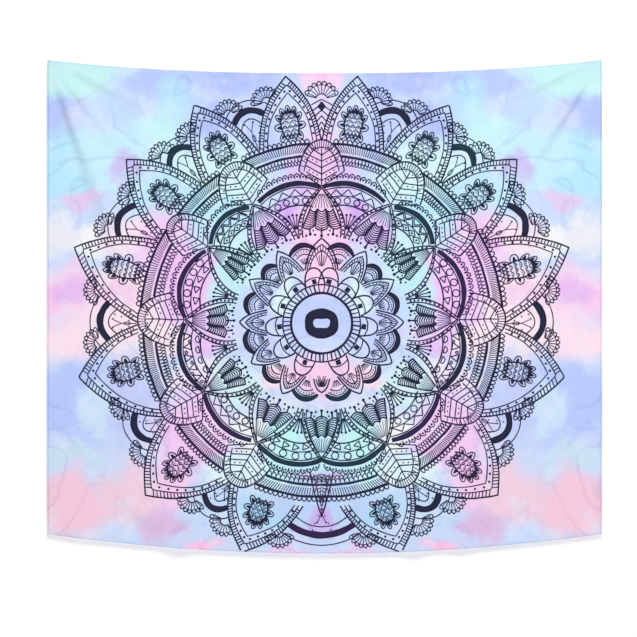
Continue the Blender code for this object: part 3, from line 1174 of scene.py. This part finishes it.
trace(tent((265.6, 0.404), (274.4, 0.404), (270, 0.522)), LINE)
trace(tent((267.0, 0.408), (273.0, 0.408), (270, 0.496)), FINE)
for row in range(9):
    half = 2.6 * (1 - row / 9.5)
    trace(dome(270, half, 0.414 + 0.009 * row, 0.408 + 0.009 * row), HAIR)
for index, tip in enumerate(PETALS):
    petal(tip, FEET[index + 1] - 0.3, FEET[index] + 0.3)
    lotus((FEET[index] + FEET[index + 1]) / 2 * 0.45 + tip[0] * 0.55, 0.4960,
          0.5780 + 0.018 * (index == 3) - 0.012 * (index == 6), 0.0235)
mirror_strokes()
lay_ink("ink_petals")

for index, reach in enumerate(CRESCENTS, 1):
    before = PETALS[index - 1]
    after = PETALS[index] if index < len(PETALS) else (289.2, 0.654)
    foot = FEET[index]
    far_foot = foot if index < len(PETALS) else 540.0 - foot   # the last arch spans the middle
    for high, sink, width, taper in ((reach + 0.0230, 0.026, FINE, 0.0),
                                     (reach - 0.0040, 0.022, 0.0180, 0.12),
                                     (reach - 0.0270, 0.022, FINE, 0.0)):
        low = high - sink
        start, end = petal_side(before, foot, low), petal_side(after, far_foot, low)
        half = abs(end - start) / 2 - 0.2
        trace(dome((start + end) / 2, half, low, high), width, taper=taper)
    sprig((foot + far_foot) / 2, reach)
for step in range(6):
    low, half = 0.520 + 0.0150 * step, 0.6 + 0.42 * step
    trace(tent((90 - half, low - 0.006), (90 + half, low - 0.006), (90, low + 0.010)), FINE)
wedge(spot(90, 0.600), spot(88.9, 0.585), spot(91.1, 0.585))
wedge(spot(90, 0.572), spot(88.9, 0.585), spot(91.1, 0.585))
for middle, reach in SHELLS:
    nearest = min((tip[0] for tip in PETALS), key=lambda turn: abs(turn - middle))
    away = 1.0 if middle > nearest else -1.0
    shell(middle + 0.5 * away, reach, 16.0 * away)
shell(90.0, 0.646, 0.0, 1.2)
mirror_strokes()
lay_ink("ink_arcades")

# %% [markdown]
# ## Turned hems
# Raw cloth frays, so each edge is folded to the back twice and sewn down, 22 mm wide. What
# shows on the back of a turned hem is the printed face again. The top and bottom hems run
# the full width and the side hems fit between them. Each is a grid laid along its edge and
# hung with the same rule as the cloth, with a slight ripple and a pinch along its stitching.

# %% Four hems
HEM_THICK = 0.0006
STITCH_IN = 0.0200        # from the cloth's edge to the stitching
PINCH_DEEP = 0.00014
PINCH_WIDE = 0.0018
RIPPLE = 0.00012
RIPPLE_SCALE = 60


def hem_place(edge, along, inward):
    """A place on a hem: 0 to 1 along it, and metres in from the cloth's edge."""
    if edge in ("left", "right"):
        side = -1 if edge == "left" else 1
        x = side * (HALF_WIDTH - inward)
        top, bottom = top_edge(x) - HEM_WIDTH, bottom_edge(x) + HEM_WIDTH
        return x, bottom + (top - bottom) * along
    x = HALF_WIDTH * (2 * along - 1)
    return x, (top_edge(x) - inward if edge == "top" else bottom_edge(x) + inward)


def turned_hem(edge):
    """One hem as a folded strip behind the cloth, printed face outwards."""
    bm = bmesh.new()
    bmesh.ops.create_grid(bm, x_segments=210, y_segments=8, size=0.5)
    for vertex in bm.verts:
        across = vertex.co.y + 0.5
        x, z = hem_place(edge, vertex.co.x + 0.5, 0.0001 + across * (HEM_WIDTH - 0.0002))
        pinch = math.exp(-(((across * HEM_WIDTH - STITCH_IN) / PINCH_WIDE) ** 2))
        rough = noise.noise(Vector((x * RIPPLE_SCALE, z * RIPPLE_SCALE, 0.0)))
        ripple = RIPPLE * rough - PINCH_DEEP * pinch
        vertex.co = hung(x, z, CLOTH_THICK + HEM_THICK + 0.0001 + ripple)
    add_print_map(bm)
    turn_faces(bm, 1)
    hem = finish_piece("turned_hem_" + edge, bm, (FACE,))
    thicken(hem, "layers", HEM_THICK + 0.00015)
    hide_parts("hem_" + edge)
    return hem


EDGES = ("top", "bottom", "left", "right")
hems = [turned_hem(edge) for edge in EDGES]
print("hem faces:", [len(hem.data.polygons) for hem in hems])

# %% [markdown]
# ## Stitching
# One row of lockstitch goes round 20 mm in from the edge. Every stitch is a little spindle
# of thread, sunk at both ends where the needle pulled it down, and the same row shows on
# the front as on the back. A spindle has only two dozen faces, as there are thousands.

# %% A row of lockstitch along each hem
PITCH = 0.0034
STITCH_LONG = 0.0027
STITCH_THICK = 0.00042
SEAM_BACK = CLOTH_THICK + HEM_THICK + 0.00012    # behind the cloth's front, as hung() takes it
SEAM_FRONT = -0.00006


def thread_material():
    """Spun polyester thread, soft and slightly shiny, in a pale blue close to the print."""
    return new_material("spun_polyester_thread", Base_Color=linear("#d3daf1"), Roughness=0.55,
                        Specular_IOR_Level=0.4, Sheen_Weight=0.2)[0]


THREAD = thread_material()


def one_spindle():
    """The stitch that all the others are copies of: a small ball, stretched later."""
    bm = bmesh.new()
    bmesh.ops.create_uvsphere(bm, u_segments=6, v_segments=4, radius=1.0)
    mesh = bpy.data.meshes.new("one_spindle")
    bm.to_mesh(mesh)
    bm.free()
    return mesh


SPINDLE = one_spindle()


def spindle(bm, start, end, thick):
    """One stitch from place to place."""
    along = end - start
    turn = along.to_track_quat("Z", "Y").to_matrix().to_4x4()
    shape = Matrix.Diagonal((thick / 2, thick / 2, along.length / 2, 1.0))
    copy = SPINDLE.copy()
    copy.transform(Matrix.Translation((start + end) / 2) @ turn @ shape)
    bm.from_mesh(copy)
    bpy.data.meshes.remove(copy)


def stitch_row(edge):
    """All the stitches along one hem, on the back and on the front."""
    bm = bmesh.new()
    in_from_ends = STITCH_IN if edge in ("top", "bottom") else 0.0
    length = 2 * HALF_WIDTH if edge in ("top", "bottom") else SIDE_LENGTH - 2 * HEM_WIDTH
    count = round((length - 2 * in_from_ends) / PITCH)
    for index in range(count):
        middle = (in_from_ends + (index + 0.5) * PITCH) / length
        half = STITCH_LONG / length / 2
        for behind in (SEAM_BACK, SEAM_FRONT):
            start = hung(*hem_place(edge, middle - half, STITCH_IN), behind)
            end = hung(*hem_place(edge, middle + half, STITCH_IN), behind)
            spindle(bm, start, end, STITCH_THICK)
    row = finish_piece("thread_" + edge, bm, (THREAD,))
    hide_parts("stitch_" + edge)
    return row


rows = [stitch_row(edge) for edge in EDGES]
print("stitch faces:", [len(row.data.polygons) for row in rows])

# %% [markdown]
# ## Loops of woven tape
# Behind each top corner a narrow cotton tape is folded to a point, so that it centres itself
# on a hook or a pin, and its ends are sewn down under a bar tack. The loop turns on the
# line where the sewing starts. The tape is a strip with a map of its own, across and along,
# so that its herringbone follows it round the fold.

# %% Tape, sewn ends and bar tacks
LOOP_X = 0.73775
LOOP_WIDE = 0.0170
TAPE_WIDE = 0.0045
TAPE_THICK = 0.0011
LOOP_FOOT = -0.0277
LOOP_POINT = 0.00300      # the middle of the tape at the tip of the fold
ENDS_FOOT = -0.0410
LOOP_LONG = 0.0720        # the length of tape that the weave is mapped along, in the loop
ENDS_LONG = 0.0130        # and in its sewn ends
HERRINGBONE = 0.00075     # the width of one slanting row of the weave
RIB = 0.00055
TACK_LOW, TACK_HIGH, TACK_BACK = -0.0370, -0.0340, 0.00082
TACK_HALF = 0.0072


def tape_material():
    """Bleached cotton tape woven in herringbone, with painted shade in the grooves between its
    ribs.
    """
    made, tree, shader = new_material("herringbone_cotton_tape", Roughness=0.85,
                                      Sheen_Weight=0.15)
    place = add(tree, "UVMap", {"uv_map": "tape_map"})
    apart = add(tree, "SeparateXYZ", _0=place.outputs[0])
    folded = maths(tree, "PINGPONG", apart.outputs[0], HERRINGBONE)
    slant = maths(tree, "ADD", folded, apart.outputs[1])
    rib = maths(tree, "SINE", maths(tree, "MULTIPLY", slant, 2 * math.pi / RIB))
    # painted shade: the one-colour tape is greyer where a rib is low and whiter where it is
    # high, as light falls on the weave
    groove_shade = add(tree, "MapRange", Value=rib, From_Min=-1.0, From_Max=1.0)
    colour = mixed(tree, groove_shade.outputs[0], linear("#cfd2d8"), linear("#f1f1ee"))
    bump = add(tree, "Bump", Height=rib, Strength=0.35, Distance=0.0001)
    tree.links.new(colour, shader.inputs["Base Color"])
    tree.links.new(bump.outputs[0], shader.inputs["Normal"])
    return made


TAPE = tape_material()


def tape_strip(name, path, wide, length, count, body):
    """A strip of tape along a path that gives a place and the direction across the tape."""
    bm = bmesh.new()
    bmesh.ops.create_grid(bm, x_segments=count, y_segments=6, size=0.5)
    tape_map = bm.loops.layers.uv.new("tape_map")
    for face in bm.faces:
        for corner in face.loops:
            along, across = corner.vert.co.x + 0.5, corner.vert.co.y
            corner[tape_map].uv = (across * wide, along * length)
    for vertex in bm.verts:
        middle, across = path(vertex.co.x + 0.5)
        vertex.co = middle + across * wide * vertex.co.y
    turn_faces(bm, 1)
    strip = finish_piece(name, bm, (TAPE,), body=body)
    thicken(strip, "woven_thickness", TAPE_THICK, offset=0.0)
    edge = strip.modifiers.new("selvedge", "BEVEL")
    edge.width = 0.0003
    edge.segments = 2
    edge.limit_method = "ANGLE"
    return strip


def folded_loop(middle):
    """Up one leg, to a point, and down the other; each bend is mitred."""
    leg = (LOOP_WIDE - TAPE_WIDE) / 2
    bend = LOOP_POINT - leg
    mitre = math.tan(math.radians(-22.5))
    corners = [(-leg, LOOP_FOOT, 1.0, 0.0), (-leg, bend, 1.0, mitre),
               (0.0, LOOP_POINT, 0.0, -math.sqrt(2)), (leg, bend, -1.0, mitre),
               (leg, LOOP_FOOT, -1.0, 0.0)]
    stops = (0.0, 0.38, 0.5, 0.62, 1.0)

    def path(t):
        index = max(i for i in range(4) if t >= stops[i] - 1e-6)
        share = (t - stops[index]) / (stops[index + 1] - stops[index])
        first, second = Vector(corners[index]), Vector(corners[index + 1])
        x, z, out, up = first.lerp(second, share)
        return Vector((middle + x, 0.0, z)), Vector((out, 0.0, up))
    return path


def bar_tack(name, middle):
    """A dense zigzag of thread over two laid threads."""
    bm = bmesh.new()
    count = 26
    for z in (TACK_LOW + 0.0009, TACK_HIGH - 0.0009):
        spindle(bm, Vector((middle - TACK_HALF - 0.0001, TACK_BACK - 0.0001, z)),
                Vector((middle + TACK_HALF + 0.0001, TACK_BACK - 0.0001, z)), 0.0005)
    for index in range(count):
        x = middle - TACK_HALF + 2 * TACK_HALF * index / (count - 1)
        spindle(bm, Vector((x - 0.00028, TACK_BACK, TACK_LOW)),
                Vector((x + 0.00028, TACK_BACK, TACK_HIGH)), 0.00052)
    tack = finish_piece(name, bm, (THREAD,))
    return tack


sewn = []
for side, name in ((-1, "left"), (1, "right")):
    middle = side * LOOP_X
    loop = tape_strip("tape_loop_" + name, folded_loop(middle), TAPE_WIDE, LOOP_LONG, 100,
                      name + "_loop")
    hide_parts("corner_loop_" + name)
    ends = tape_strip(
        "tape_end_" + name,
        lambda t: (Vector((middle, 0.0, LOOP_FOOT - 0.0003 + (ENDS_FOOT - LOOP_FOOT) * t)),
                   Vector((1.0, 0.0, 0.0))),
        LOOP_WIDE, ENDS_LONG, 12, "cloth")
    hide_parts("loop_end_" + name)
    tack = bar_tack("bar_tack_" + name, middle)
    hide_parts("loop_tack_" + name)
    sewn += [ends, tack]
print("loops and tacks:", [piece.name for piece in sewn])

# %% [markdown]
# The cloth was cut 60 by 51 inches before it was hung from its loops. The box of the
# finished model is kept beside the frame's box, and its size is printed.

low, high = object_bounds()
sizes = {"cad": [list(cad_low), list(cad_high)], "visual": [list(low), list(high)]}
print("finished box, metres:", [round(b - a, 4) for a, b in zip(low, high)])
